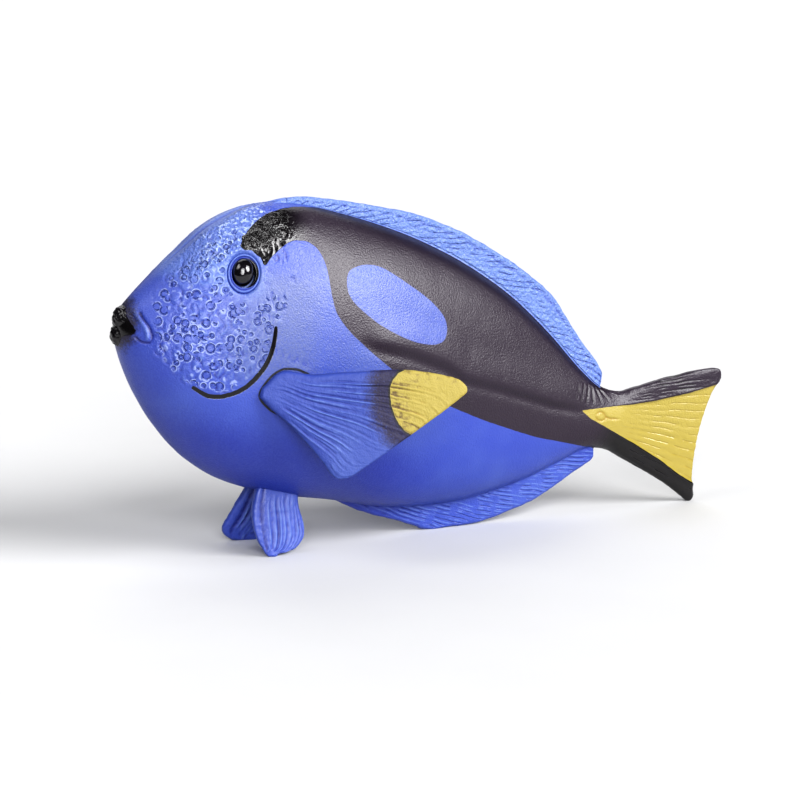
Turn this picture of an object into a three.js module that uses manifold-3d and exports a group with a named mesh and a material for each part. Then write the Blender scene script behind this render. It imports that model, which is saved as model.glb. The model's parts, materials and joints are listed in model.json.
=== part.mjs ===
// A toy regal blue tang, moulded in solid soft vinyl. Its nose is raised, and it stands on
// the tips of its two pelvic fins, the lowest point of its anal fin and its tail's lower tip.
// Millimetres, +Z up. The head points to -X and the fish's left side faces -Y.
// Every part is drawn in the fish's own frame: s runs from the lips to the tail, h towards
// the back, and y towards the fish's right side. One group then raises the nose.

import * as THREE from 'three';
import { mergeVertices } from 'three/addons/utils/BufferGeometryUtils.js';
import Module from 'manifold-3d';

const wasm = await Module();
wasm.setup();

// How the fish stands: the parting of its lips is the fish frame's origin.
const noseUp = THREE.MathUtils.degToRad(14.5);
const lipsX = -69.5;
const lipsHeight = 49.0;

// Clearance between neighbouring parts.
const gap = 0.3;

// The block that trims the fin tips to small flats at floor level.
const floorBlock = 300;

// Body stations from lips to tail: back s, back h, belly s, belly h, half width.
const bodyRows = [
  [-0.2, 1.8, -0.1, 0.4, 0.9],
  [0.5, 4.2, 0.6, -2.2, 3.0],
  [2.4, 7.6, 2.0, -5.0, 5.0],
  [5.1, 11.7, 4.4, -8.8, 7.2],
  [9.0, 17.3, 8.1, -13.4, 9.8],
  [14.4, 24.3, 14.1, -19.2, 12.8],
  [21.2, 29.0, 21.0, -23.9, 14.8],
  [30.0, 31.7, 30.0, -27.0, 16.2],
  [42.0, 31.9, 42.0, -27.9, 16.8],
  [56.0, 30.6, 54.0, -27.3, 15.8],
  [70.0, 27.7, 68.0, -26.6, 13.2],
  [84.0, 22.7, 83.0, -23.2, 9.8],
  [96.0, 16.2, 96.0, -17.2, 6.8],
  [105.0, 10.2, 105.0, -11.4, 4.9],
  [111.0, 7.0, 111.0, -7.2, 4.0],
  [116.3, 6.5, 116.3, -6.5, 3.0],
];
const bodyEgg = 0.16;

// Where the body is parted, counted in rows. Rows are 12 mm apart behind the head and
// 9 mm apart before the tail base.
const headEnd = 7;
const trunkStart = headEnd + gap / 12;
const trunkEnd = 12.7;
const tailBaseStart = trunkEnd + gap / 9;

// Lips: two rolled lips round a parting that runs across the snout.
const upperLip = { s: 1.1, h: 2.4, radii: [2.2, 4.0, 2.1] };
const lowerLip = { s: 1.5, h: -1.3, radii: [1.9, 3.7, 1.8] };
const lipFacets = [18, 10];

// Eyes: a taller-than-wide dome, set square to the side of the head, in a raised rim.
const eye = { s: 20.2, h: 16.7, y: 10.1, radii: [2.35, 2.2, 3.05] };
const eyeFaces = new THREE.Vector3(-0.28, -1, 0.42).normalize();
const eyeFacets = [16, 9];
const eyeRim = { s: 20.0, h: 16.5, y: 10.3, width: 3.1, height: 3.5, depth: 3, tube: 0.17 };

// Dorsal fin: outer edge s, h, then a line inside the back, half thickness.
const dorsalRows = [
  [26.5, 31.4, 27.0, 27.0, 1.1],
  [33.0, 33.5, 34.0, 28.4, 1.2],
  [41.5, 34.4, 42.5, 28.8, 1.2],
  [50.5, 34.8, 51.0, 28.2, 1.2],
  [58.5, 34.8, 59.5, 27.0, 1.2],
  [67.5, 33.7, 67.5, 25.2, 1.2],
  [75.0, 32.0, 74.5, 23.0, 1.15],
  [83.0, 29.4, 81.5, 20.2, 1.15],
  [89.5, 26.9, 88.0, 17.0, 1.1],
  [95.0, 24.1, 93.5, 13.8, 1.1],
  [98.8, 20.6, 98.0, 11.2, 1.05],
  [104.0, 15.8, 103.0, 8.0, 1.0],
  [109.0, 12.0, 107.5, 6.0, 1.0],
  [111.5, 9.2, 109.8, 5.4, 0.9],
];
const dorsalEgg = 0.3;

// Anal fin: a line inside the belly, then the outer edge, half thickness.
const analRows = [
  [57.5, -24.0, 56.5, -27.4, 1.0],
  [65.0, -23.5, 64.0, -28.8, 1.15],
  [71.0, -22.0, 71.0, -29.4, 1.2],
  [75.5, -21.0, 75.8, -29.8, 1.2],
  [77.5, -20.5, 77.7, -30.8, 1.25],
  [79.8, -20.0, 80.4, -30.1, 1.25],
  [82.5, -19.0, 83.4, -29.0, 1.2],
  [89.0, -16.4, 90.5, -26.9, 1.15],
  [95.5, -13.4, 98.2, -22.8, 1.1],
  [101.0, -10.0, 104.5, -18.3, 1.05],
  [106.0, -7.0, 109.5, -13.4, 1.0],
  [110.0, -4.6, 113.8, -9.4, 0.95],
  [111.6, -4.0, 113.8, -7.4, 0.85],
];
const analEgg = -0.3;

// Tail fin: upper edge, lower edge, half thickness, and how far the end is hollowed.
const tailFinRows = [
  [116.6, 6.5, 116.6, -6.6, 2.4, 0],
  [120.0, 7.8, 120.5, -7.9, 1.9, 0],
  [125.0, 10.1, 126.5, -9.6, 1.4, -0.3],
  [130.5, 12.6, 132.5, -11.4, 1.15, -0.9],
  [136.0, 14.8, 137.5, -13.5, 1.0, -2.0],
  [139.0, 15.6, 139.9, -14.8, 0.95, -3.0],
  [140.6, 14.8, 141.2, -14.2, 0.85, -3.7],
];

// Pectoral fin, from root to free end: upper edge, lower edge, half thickness, end bulge.
const pectoralRows = [
  [27.4, -5.0, 27.4, -6.8, 1.6, 0],
  [30.5, -0.8, 30.5, -9.0, 1.6, 0],
  [36.2, -0.2, 34.2, -11.9, 1.35, 0],
  [43.0, 2.2, 37.5, -14.8, 1.15, 0],
  [52.4, 5.2, 40.2, -17.0, 1.0, 0.3],
  [60.3, 5.6, 42.2, -18.5, 0.9, 0.8],
  [64.4, 3.2, 44.0, -18.9, 0.75, 1.2],
];
const pectoralFlare = { s: 28, h: -8, y: 16, outPerS: 0.488, outPerH: 0.14 };

// Pelvic fins, from inside the belly to the tip: front edge, rear edge, half thickness.
// The right one is set a little further forward than the left.
const leftPelvicRows = [
  [36.8, -25.0, 45.4, -25.0, 1.5, 0],
  [36.2, -29.0, 46.2, -29.0, 1.35, 0],
  [36.3, -32.2, 47.6, -32.6, 1.2, 0],
  [37.0, -35.0, 48.0, -35.3, 1.1, 0],
  [38.4, -37.6, 46.8, -37.4, 1.0, 0],
  [39.6, -39.0, 45.2, -38.6, 0.95, 0],
  [40.9, -40.15, 42.8, -39.8, 0.85, 0],
];
const rightPelvicRows = [
  [35.8, -25.0, 44.4, -25.0, 1.5, 0],
  [35.4, -29.0, 45.2, -29.0, 1.35, 0],
  [35.2, -32.2, 46.6, -32.6, 1.2, 0],
  [34.9, -35.0, 47.0, -35.3, 1.1, 0],
  [35.1, -37.6, 46.0, -37.4, 1.0, 0],
  [36.4, -39.6, 44.6, -38.8, 0.95, 0],
  [39.0, -41.2, 42.6, -40.2, 0.85, 0],
];
const pelvicFlare = { s: 41.6, h: -39.9, y: 7.75, outPerS: 0, outPerH: 0.28 };

const flatBlade = 0.45;
const roundSection = 1;

const blueVinyl = paint(0x4f68cf, 0.5);
const paleBlueVinyl = paint(0x7f97e0, 0.5);
const blackPaint = paint(0x241a24, 0.4);
const yellowPaint = paint(0xdcc766, 0.5);
const glossBlack = paint(0x0c090c, 0.1);

function paint(color, roughness) {
  return new THREE.MeshStandardMaterial({ color, roughness, metalness: 0 });
}

// One closed skin over rows of edge pairs. The section across each pair is an egg-shaped
// oval, or a flat blade where the power is below one.
function loft(rows, shape) {
  const last = rows.length - 1;
  const { rings, around, power, from = 0, to = last, egg = 0, grow = 0, flare = null } = shape;
  const edges = rowCurves(rows);
  const positions = [];
  for (let i = 0; i <= rings; i++) {
    const t = (from + ((to - from) * i) / rings) / last;
    const upper = edges.upper.getPoint(t);
    const lower = edges.lower.getPoint(t);
    const form = edges.form.getPoint(t);
    const middle = upper.clone().add(lower).multiplyScalar(0.5);
    const reach = upper.clone().sub(middle);
    reach.setLength(reach.length() + grow);
    for (let j = 0; j < around; j++) {
      const angle = (2 * Math.PI * j) / around;
      const across = curved(Math.sin(angle), power);
      const s = middle.x + reach.x * across + form.y * (1 - across * across);
      const h = middle.y + reach.y * across;
      const y = (form.x + grow) * curved(Math.cos(angle), power) * (1 - egg * across);
      positions.push(s, y + flareAt(flare, s, h), h);
    }
  }
  return closeTube(positions, rings, around);
}

function rowCurves(rows) {
  const through = (x, y) => {
    const points = rows.map((row) => new THREE.Vector3(row[x], row[y] ?? 0, 0));
    return new THREE.CatmullRomCurve3(points, false, 'catmullrom');
  };
  return { upper: through(0, 1), lower: through(2, 3), form: through(4, 5) };
}

function curved(value, power) {
  return Math.sign(value) * Math.abs(value) ** power;
}

// How far a paired fin's middle surface stands out to the left of the fish's mid-plane.
function flareAt(flare, s, h) {
  if (!flare) return 0;
  return -(flare.y + flare.outPerS * (s - flare.s) + flare.outPerH * (flare.h - h));
}

function closeTube(positions, rings, around) {
  const index = [];
  for (let i = 0; i < rings; i++) {
    for (let j = 0; j < around; j++) {
      const k = (j + 1) % around;
      const a = i * around;
      const b = a + around;
      index.push(a + j, b + j, b + k, a + j, b + k, a + k);
    }
  }
  for (const ring of [0, rings]) {
    const first = ring * around;
    const middle = new THREE.Vector3();
    for (let j = 0; j < around; j++) {
      middle.add(new THREE.Vector3().fromArray(positions, 3 * (first + j)));
    }
    middle.divideScalar(around);
    const centre = positions.length / 3;
    positions.push(middle.x, middle.y, middle.z);
    for (let j = 0; j < around; j++) {
      const k = (j + 1) % around;
      index.push(centre, first + (ring ? k : j), first + (ring ? j : k));
    }
  }
  const geometry = new THREE.BufferGeometry();
  geometry.setAttribute('position', new THREE.Float32BufferAttribute(positions, 3));
  geometry.setIndex(index);
  return geometry;
}

function lip({ s, h, radii }, grow = 0) {
  const geometry = new THREE.SphereGeometry(1, ...lipFacets);
  geometry.scale(radii[0] + grow, radii[1] + grow, radii[2] + grow);
  geometry.translate(s, 0, h);
  return geometry;
}

function eyeDome(grow = 0) {
  const geometry = new THREE.SphereGeometry(1, ...eyeFacets);
  geometry.scale(eye.radii[0] + grow, eye.radii[1] + grow, eye.radii[2] + grow);
  return onLeftCheek(geometry, eye);
}

function eyeRimRing() {
  const geometry = new THREE.TorusGeometry(1, eyeRim.tube, 6, 18);
  geometry.rotateX(Math.PI / 2);
  geometry.scale(eyeRim.width, eyeRim.depth, eyeRim.height);
  return onLeftCheek(geometry, eyeRim);
}

function onLeftCheek(geometry, { s, y, h }) {
  const outward = new THREE.Vector3(0, -1, 0);
  geometry.applyQuaternion(new THREE.Quaternion().setFromUnitVectors(outward, eyeFaces));
  geometry.translate(s, -y, h);
  return geometry;
}

// The same piece for the fish's right side.
function mirrored(geometry) {
  const copy = geometry.clone();
  copy.scale(1, -1, 1);
  return copy;
}

function bothSides(geometry) {
  return solid(geometry).add(solid(mirrored(geometry)));
}

// Booleans work on merged, outward-facing triangles.
function solid(geometry) {
  const bare = geometry.clone();
  bare.deleteAttribute('normal');
  bare.deleteAttribute('uv');
  const merged = mergeVertices(bare, 1e-4);
  const vertProperties = new Float32Array(merged.attributes.position.array);
  const triVerts = new Uint32Array(merged.index.array);
  if (volumeOf(vertProperties, triVerts) < 0) triVerts.reverse();
  return new wasm.Manifold(new wasm.Mesh({ numProp: 3, vertProperties, triVerts }));
}

function volumeOf(points, triangles) {
  const [a, b, c] = [new THREE.Vector3(), new THREE.Vector3(), new THREE.Vector3()];
  let sum = 0;
  for (let i = 0; i < triangles.length; i += 3) {
    a.fromArray(points, 3 * triangles[i]);
    b.fromArray(points, 3 * triangles[i + 1]);
    c.fromArray(points, 3 * triangles[i + 2]);
    sum += a.dot(b.cross(c));
  }
  return sum;
}

function addPart(name, manifold, material) {
  const { vertProperties, triVerts } = manifold.getMesh();
  const geometry = new THREE.BufferGeometry();
  geometry.setAttribute('position', new THREE.BufferAttribute(vertProperties, 3));
  geometry.setIndex(new THREE.BufferAttribute(triVerts, 1));
  geometry.computeVertexNormals();
  const mesh = new THREE.Mesh(geometry, material);
  mesh.name = name;
  fish.add(mesh);
}

const fish = new THREE.Group();
fish.rotation.y = noseUp;
fish.position.set(lipsX, 0, lipsHeight);
fish.updateMatrix();

// The ground the fish stands on, seen from the fish's own frame.
function floor() {
  const block = new THREE.BoxGeometry(floorBlock, floorBlock, floorBlock);
  block.translate(0, 0, -floorBlock / 2);
  block.applyMatrix4(fish.matrix.clone().invert());
  return solid(block);
}

const bodySection = { around: 32, power: roundSection, egg: bodyEgg };
const grownBody = solid(loft(bodyRows, { ...bodySection, rings: 45, grow: gap }));

function addHead() {
  const skull = solid(loft(bodyRows, { ...bodySection, to: headEnd, rings: 20 }));
  const lips = solid(lip(upperLip)).add(solid(lip(lowerLip)));
  const lipRoom = solid(lip(upperLip, gap)).add(solid(lip(lowerLip, gap)));
  const rims = bothSides(eyeRimRing());
  const sockets = bothSides(eyeDome(gap));
  addPart('head', skull.add(rims).subtract(lipRoom).subtract(sockets), blueVinyl);
  addPart('lips', lips, blackPaint);
  addPart('eye_left', solid(eyeDome()), glossBlack);
  addPart('eye_right', solid(mirrored(eyeDome())), glossBlack);
}

function addTrunkAndTail() {
  const trunk = { ...bodySection, from: trunkStart, to: trunkEnd, rings: 16 };
  const tailBase = { ...bodySection, from: tailBaseStart, rings: 8 };
  addPart('trunk', solid(loft(bodyRows, trunk)), blueVinyl);
  addPart('tail_base', solid(loft(bodyRows, tailBase)), blackPaint);
  const fan = loft(tailFinRows, { rings: 12, around: 16, power: flatBlade });
  addPart('tail_fin', solid(fan).subtract(floor()), yellowPaint);
}

function addMidlineFins() {
  const dorsal = loft(dorsalRows, { rings: 26, around: 12, power: flatBlade, egg: dorsalEgg });
  const anal = loft(analRows, { rings: 24, around: 12, power: flatBlade, egg: analEgg });
  addPart('dorsal_fin', solid(dorsal).subtract(grownBody), paleBlueVinyl);
  addPart('anal_fin', solid(anal).subtract(grownBody).subtract(floor()), blueVinyl);
}

function addPairedFins() {
  const blade = { rings: 12, around: 14, power: flatBlade };
  const pectoral = loft(pectoralRows, { ...blade, flare: pectoralFlare });
  const leftPelvic = loft(leftPelvicRows, { ...blade, flare: pelvicFlare });
  const rightPelvic = mirrored(loft(rightPelvicRows, { ...blade, flare: pelvicFlare }));
  const standing = (fin) => solid(fin).subtract(grownBody).subtract(floor());
  addPart('pectoral_fin_left', solid(pectoral).subtract(grownBody), blueVinyl);
  addPart('pectoral_fin_right', solid(mirrored(pectoral)).subtract(grownBody), blueVinyl);
  addPart('pelvic_fin_left', standing(leftPelvic), blueVinyl);
  addPart('pelvic_fin_right', standing(rightPelvic), blueVinyl);
}

addHead();
addTrunkAndTail();
addMidlineFins();
addPairedFins();

export default fish;
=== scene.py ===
import json
import math

import bmesh
import bpy
import numpy as np
from mathutils import Matrix, Vector, noise

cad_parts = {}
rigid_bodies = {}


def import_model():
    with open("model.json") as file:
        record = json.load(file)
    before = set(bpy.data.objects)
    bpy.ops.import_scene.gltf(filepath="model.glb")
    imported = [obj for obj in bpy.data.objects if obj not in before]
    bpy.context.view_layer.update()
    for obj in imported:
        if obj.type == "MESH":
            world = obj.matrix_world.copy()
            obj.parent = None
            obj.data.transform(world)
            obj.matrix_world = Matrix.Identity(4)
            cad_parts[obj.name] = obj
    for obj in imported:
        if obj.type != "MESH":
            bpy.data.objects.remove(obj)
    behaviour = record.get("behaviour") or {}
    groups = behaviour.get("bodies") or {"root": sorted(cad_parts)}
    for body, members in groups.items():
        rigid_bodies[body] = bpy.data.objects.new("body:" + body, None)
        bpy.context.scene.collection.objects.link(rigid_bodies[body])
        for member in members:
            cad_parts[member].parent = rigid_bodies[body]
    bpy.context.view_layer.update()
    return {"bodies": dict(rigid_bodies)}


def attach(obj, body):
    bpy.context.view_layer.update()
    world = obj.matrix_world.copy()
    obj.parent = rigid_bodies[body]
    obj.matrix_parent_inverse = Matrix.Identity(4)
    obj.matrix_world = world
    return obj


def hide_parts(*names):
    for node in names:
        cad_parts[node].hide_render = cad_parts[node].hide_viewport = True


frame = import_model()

MM = 0.001
NOSE_UP = math.radians(14.5)
LIPS_X = -69.5
LIPS_HEIGHT = 49.0
BODY = next(iter(frame["bodies"]))


def standing(s, y, h):
    """Points of the fish's own frame, in millimetres, as places in the room, in metres."""
    x = LIPS_X + s * math.cos(NOSE_UP) + h * math.sin(NOSE_UP)
    z = LIPS_HEIGHT - s * math.sin(NOSE_UP) + h * math.cos(NOSE_UP)
    return np.stack((x, y, z), axis=-1) * MM


# The photograph's view: from the fish's left, a little ahead of it and above it, through a
# long lens.
VIEW_AZIMUTH = math.radians(-24)
VIEW_ELEVATION = math.radians(12)
VIEW_DISTANCE = 700 * MM
VIEW_CENTRE = Vector((-6.72, 0, 28.56)) * MM
LENS = 150
SENSOR = 36


def direction(azimuth, elevation):
    """A unit vector from the fish towards a viewer or a lamp. Azimuth 0 faces its left side."""
    level = math.cos(elevation)
    return Vector((math.sin(azimuth) * level, -math.cos(azimuth) * level, math.sin(elevation)))


def aimed(name, data, azimuth, elevation, distance):
    """A camera or lamp at that bearing, turned to the middle of the view."""
    thing = bpy.data.objects.new(name, data)
    bpy.context.scene.collection.objects.link(thing)
    away = direction(azimuth, elevation)
    thing.location = VIEW_CENTRE + away * distance
    thing.rotation_euler = (-away).to_track_quat("-Z", "Y").to_euler()
    return thing


camera_data = bpy.data.cameras.new("camera")
camera_data.lens = LENS
camera_data.sensor_width = SENSOR
camera_data.clip_start = 0.01
camera = aimed("camera", camera_data, VIEW_AZIMUTH, VIEW_ELEVATION, VIEW_DISTANCE)
bpy.context.scene.camera = camera


# A plain pale studio: a matt floor, two broad soft lamps high on the fish's left, weaker ones
# before its brow and behind it, and an even surround that looks pale but lights it only dimly.
# The picture is developed with high contrast, as the photograph was.
FLOOR_SIZE = 12.0
FLOOR_COLOUR = (0.555, 0.555, 0.56, 1)
FLOOR_CLOUDS = 0.985
FLOOR_ROUGHNESS = 0.9
SURROUND_COLOUR = (0.93, 0.95, 1.0, 1)
SURROUND_STRENGTH = 0.07
SURROUND_SEEN = 0.9
LAMP_DISTANCE = 2.0

# For each lamp its azimuth, its elevation and how broad it looks, in degrees, and its strength.
LAMPS = {
    "key_lamp": (43, 33, 36, 3.2),
    "second_lamp": (-18, 24, 34, 2.1),
    "crown_lamp": (-85, 50, 30, 0.7),
    "back_lamp": (165, 42, 60, 1.0),
}


def node(owner, kind, inputs=None, **settings):
    """Adds a shader node to a material or the surround. Inputs are values, or outputs of other
    nodes to link from."""
    made = owner.node_tree.nodes.new(kind)
    for name, value in settings.items():
        setattr(made, name, value)
    for name, value in (inputs or {}).items():
        if isinstance(value, bpy.types.NodeSocket):
            owner.node_tree.links.new(value, made.inputs[name])
        else:
            made.inputs[name].default_value = value
    return made


def new_material(name):
    material = bpy.data.materials.new(name)
    material.use_nodes = True
    material.node_tree.nodes.clear()
    return material


def object_coordinates(material):
    return node(material, "ShaderNodeTexCoord").outputs["Object"]


def speckle(material, scale, detail=2.0):
    """A noise value from 0 to 1, with that many cells to the metre."""
    inputs = {"Vector": object_coordinates(material), "Scale": scale, "Detail": detail}
    return node(material, "ShaderNodeTexNoise", inputs).outputs[0]


def ranged(material, value, low, high, to_low=0.0, to_high=1.0):
    """Carries low..high over to to_low..to_high, and holds it there outside."""
    inputs = {"Value": value, "From Min": low, "From Max": high, "To Min": to_low, "To Max": to_high}
    return node(material, "ShaderNodeMapRange", inputs).outputs[0]


def mixed(material, factor, first, second):
    """One colour turning into another as the factor goes from 0 to 1."""
    sockets = {0: factor, 6: first, 7: second}
    return node(material, "ShaderNodeMix", sockets, data_type="RGBA").outputs[2]


def calculated(material, operation, first, second):
    sockets = {0: first, 1: second}
    return node(material, "ShaderNodeMath", sockets, operation=operation).outputs[0]


def bumped(material, height, depth, below=None):
    """A bump of that many metres between height 0 and 1, over another bump where one is given."""
    inputs = {"Height": height, "Strength": 1.0, "Distance": depth}
    if below is not None:
        inputs["Normal"] = below
    return node(material, "ShaderNodeBump", inputs).outputs[0]


def surfaced(material, shader):
    node(material, "ShaderNodeOutputMaterial", {"Surface": shader.outputs[0]})
    return material


def floor_material():
    """Matt paper, very faintly cloudy."""
    material = new_material("floor_paper")
    tint = ranged(material, speckle(material, 40), 0.3, 0.7)
    darker = tuple(FLOOR_CLOUDS * c for c in FLOOR_COLOUR[:3]) + (1,)
    colour = mixed(material, tint, darker, FLOOR_COLOUR)
    inputs = {"Base Color": colour, "Roughness": FLOOR_ROUGHNESS}
    return surfaced(material, node(material, "ShaderNodeBsdfPrincipled", inputs))


def soft_lamp(name, azimuth, elevation, spread, strength):
    """A lamp so far off that it lights the whole floor alike, and as broad as that angle."""
    data = bpy.data.lights.new(name, "SUN")
    data.angle = math.radians(spread)
    data.energy = strength
    return aimed(name, data, math.radians(azimuth), math.radians(elevation), LAMP_DISTANCE)


floor_shape = bmesh.new()
bmesh.ops.create_grid(floor_shape, x_segments=8, y_segments=8, size=FLOOR_SIZE / 2)
floor_mesh = bpy.data.meshes.new("floor")
floor_shape.to_mesh(floor_mesh)
floor_shape.free()
floor_mesh.materials.append(floor_material())
floor = bpy.data.objects.new("floor", floor_mesh)
bpy.context.scene.collection.objects.link(floor)

surround = bpy.data.worlds.new("surround")
surround.use_nodes = True
background = surround.node_tree.nodes["Background"]
background.inputs["Color"].default_value = SURROUND_COLOUR
looked_at = node(surround, "ShaderNodeLightPath").outputs["Is Camera Ray"]
pale_or_dim = ranged(surround, looked_at, 0.0, 1.0, SURROUND_STRENGTH, SURROUND_SEEN)
surround.node_tree.links.new(pale_or_dim, background.inputs["Strength"])
bpy.context.scene.world = surround
bpy.context.scene.view_settings.view_transform = "Standard"
bpy.context.scene.view_settings.look = "High Contrast"

for name, (azimuth, elevation, spread, strength) in LAMPS.items():
    soft_lamp(name, azimuth, elevation, spread, strength)


# The body, with the back, belly and tail fins, is one casting in soft solid vinyl, so that
# no seam shows. It is one sheet of rings from the snout to the tail's edge, closed along the
# back, and each fin is drawn out of the rings that it stands on.

# Each row is a ring: back s, back h, belly s, belly h, half width, how far the end is hollowed,
# and the roundness of the section, 1 for an egg and less for a flat blade.
BODY_ROWS = (
    (-0.2, 1.8, -0.1, 0.4, 0.9, 0, 1),
    (0.5, 4.2, 0.6, -2.2, 3.0, 0, 1),
    (2.4, 7.6, 2.0, -5.0, 5.0, 0, 1),
    (5.1, 11.7, 4.4, -8.8, 7.2, 0, 1),
    (9.0, 17.3, 8.1, -13.4, 9.8, 0, 1),
    (14.4, 24.3, 14.1, -19.2, 12.8, 0, 1),
    (21.2, 29.0, 21.0, -23.9, 14.8, 0, 1),
    (30.0, 31.7, 30.0, -27.0, 16.2, 0, 1),
    (42.0, 31.9, 42.0, -27.9, 16.8, 0, 1),
    (56.0, 30.6, 54.0, -27.3, 15.8, 0, 1),
    (70.0, 27.7, 68.0, -26.6, 13.2, 0, 1),
    (84.0, 22.7, 83.0, -23.2, 9.8, 0, 1),
    (96.0, 16.2, 96.0, -17.2, 6.8, 0, 1),
    (105.0, 10.2, 105.0, -11.4, 4.9, 0, 1),
    (111.0, 7.0, 111.0, -7.2, 4.0, 0, 1),
    (116.3, 6.5, 116.3, -6.5, 3.0, 0, 1),
    (120.0, 8.0, 120.5, -7.6, 2.1, 0, 0.75),
    (125.0, 10.2, 126.5, -9.4, 1.5, -0.2, 0.5),
    (130.5, 12.7, 132.5, -11.3, 1.2, -0.6, 0.45),
    (136.0, 14.8, 137.5, -13.4, 1.05, -1.3, 0.45),
    (139.3, 15.6, 139.9, -14.5, 0.95, -1.9, 0.45),
    (141.0, 14.8, 141.2, -14.1, 0.85, -2.35, 0.45),
)
EGG = 0.16
TAIL_EDGE = 0.7
TAIL_CORNER = 1.2

# Where the rings lie closer together, as s and the distance between rings there.
RING_STEPS = ((-0.2, 0.3), (3, 0.24), (32, 0.24), (37, 0.6), (104, 0.62), (107, 0.34),
              (116, 0.34), (119, 0.5), (137, 0.5), (139, 0.25), (141, 0.18))
PLACE_STEPS = 4001
SECTION_STEPS = 601

# Each half ring has so many points from the back to the belly. The first and the last of them
# are the fins', or lie as even as the rest where there is no fin.
HALF_RING = 138
FIN_EDGE_POINTS = 5
FIN_POINTS = 20
BELLY_ROOT_POINT = HALF_RING - FIN_POINTS
FACE_CROWDING = 0.35
CLOSING_GAP = 0.0004 * MM

# The fins along the back and the belly: where each ray leaves the body, and its end, s and h.
BACK_FIN_ROWS = ((24.5, 24.4, 30.3), (26.5, 26.5, 31.4), (33.2, 33.0, 33.4), (41.9, 41.5, 34.3),
                 (50.7, 50.5, 34.8), (59.1, 58.5, 34.9), (67.5, 67.5, 33.8), (74.6, 75.0, 32.1),
                 (82.0, 83.0, 29.5), (88.5, 89.5, 26.9), (94.0, 95.0, 24.1), (98.3, 98.9, 20.8),
                 (103.4, 104.0, 16.2), (108.1, 109.0, 12.2), (110.2, 111.2, 10.0),
                 (110.9, 111.6, 8.6), (111.4, 111.5, 7.2))
BELLY_FIN_ROWS = ((54.5, 54.5, -27.3), (57.0, 57.0, -27.5), (64.3, 64.0, -28.8),
                  (71.0, 71.0, -29.4), (75.6, 75.7, -29.9), (77.5, 77.7, -30.3),
                  (80.0, 80.4, -30.1), (82.9, 83.4, -29.0), (89.5, 90.5, -26.9),
                  (96.5, 98.2, -22.8), (102.4, 104.5, -18.3), (107.4, 109.5, -13.4),
                  (111.8, 113.8, -9.4), (112.8, 114.0, -8.0), (113.4, 113.5, -6.8))
FIN_THICKNESS = 1.05
FIN_EDGE_THINNING = 0.3
FIN_EDGE_ROUND = 0.75
SCALLOPED_FROM = (50, 60)
BACK_SCALLOP = 0.07
BELLY_SCALLOP = 0.06

# The s between which the rings' points gather for each fin, and the fin is drawn out, and
# between which the points crowd onto the face: start, full, fading, end.
NEAR_BACK_FIN = (15, 24, 112, 122)
ON_BACK_FIN = (24.5, 29, 111.2, 111.5)
NEAR_BELLY_FIN = (45, 54, 114, 124)
ON_BELLY_FIN = (54.5, 59, 113.2, 113.5)
ON_FACE = (0, 8, 34, 50)


def through(points, at):
    """A smooth curve through rows of numbers, read at row numbers that need not be whole."""
    points = np.asarray(points, float)
    last = len(points) - 1
    row = np.clip(np.floor(at).astype(int), 0, last - 1)
    f = (np.asarray(at) - row)[..., None]
    before = np.where((row == 0)[..., None], 2 * points[0] - points[1], points[row - 1])
    end = 2 * points[last] - points[last - 1]
    after = np.where((row == last - 1)[..., None], end, points[np.minimum(row + 2, last)])
    lean_a = (points[row + 1] - before) / 2
    lean_b = (after - points[row]) / 2
    rise = f * f * (3 - 2 * f)
    return (points[row] * (1 - rise) + points[row + 1] * rise
            + lean_a * f * (1 - f) ** 2 - lean_b * f * f * (1 - f))


def smooth_line(points, steps=8, closed=False):
    """A finely stepped line through a few points."""
    if closed:
        points = list(points[-2:]) + list(points) + list(points[:3])
        span = np.linspace(2, len(points) - 3, (len(points) - 5) * steps + 1)
        return through(points, span)
    return through(points, np.linspace(0, len(points) - 1, (len(points) - 1) * steps + 1))


def smoothstep(low, high, value):
    f = np.clip((value - low) / (high - low), 0, 1)
    return f * f * (3 - 2 * f)


def window(value, start, full, fading, end):
    """0 up to start and from end on, and 1 from full to fading."""
    return smoothstep(start, full, value) * smoothstep(end, fading, value)


def running_length(line):
    """How far along a line each of its points lies."""
    steps = np.linalg.norm(np.diff(line, axis=0), axis=1)
    return np.concatenate(([0], np.cumsum(steps)))


def rounded_end(to_end, corner, edge):
    """For rings that far from a free end: how far their corners draw in, and how full they are.
    The first ring is closed too."""
    inward = np.clip(1 - to_end / corner, 0, 1)
    full = np.sqrt(1 - (1 - np.clip(to_end / edge, 0, 1)) ** 2)
    full[0] = 0
    return corner * (1 - np.sqrt(1 - inward ** 2)), full


def ring_places():
    """The rings' places as row numbers, closer together where RING_STEPS says."""
    rows = np.linspace(0, len(BODY_ROWS) - 1, PLACE_STEPS)
    shape = through(BODY_ROWS, rows)
    middle = (shape[:, 0] + shape[:, 2]) / 2
    places = [middle[0]]
    while places[-1] < middle[-1]:
        places.append(places[-1] + np.interp(places[-1], *zip(*RING_STEPS)))
    places = np.array(places)
    fit = (middle[-1] - middle[0]) / (places[-1] - middle[0])
    return np.interp(middle[0] + (places - middle[0]) * fit, middle, rows)


def blade(root, edge, thickness):
    """One side of a fin's section, from its rounded edge in to its root: s, y, h."""
    height = math.dist(root, edge)
    rounding = min(FIN_EDGE_ROUND, height / 2)
    angle = np.linspace(0, math.pi / 2, FIN_EDGE_POINTS + 1)
    over = height - rounding + rounding * np.cos(angle)
    down = np.linspace(height - rounding, 0, FIN_POINTS - FIN_EDGE_POINTS + 1)[1:]
    up = np.concatenate((over, down)) / height
    full = np.concatenate((np.sin(angle), np.ones(len(down))))
    y = thickness * full * (1 - FIN_EDGE_THINNING * up)
    return np.stack((root[0] + (edge[0] - root[0]) * up, y, root[1] + (edge[1] - root[1]) * up), 1)


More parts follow.
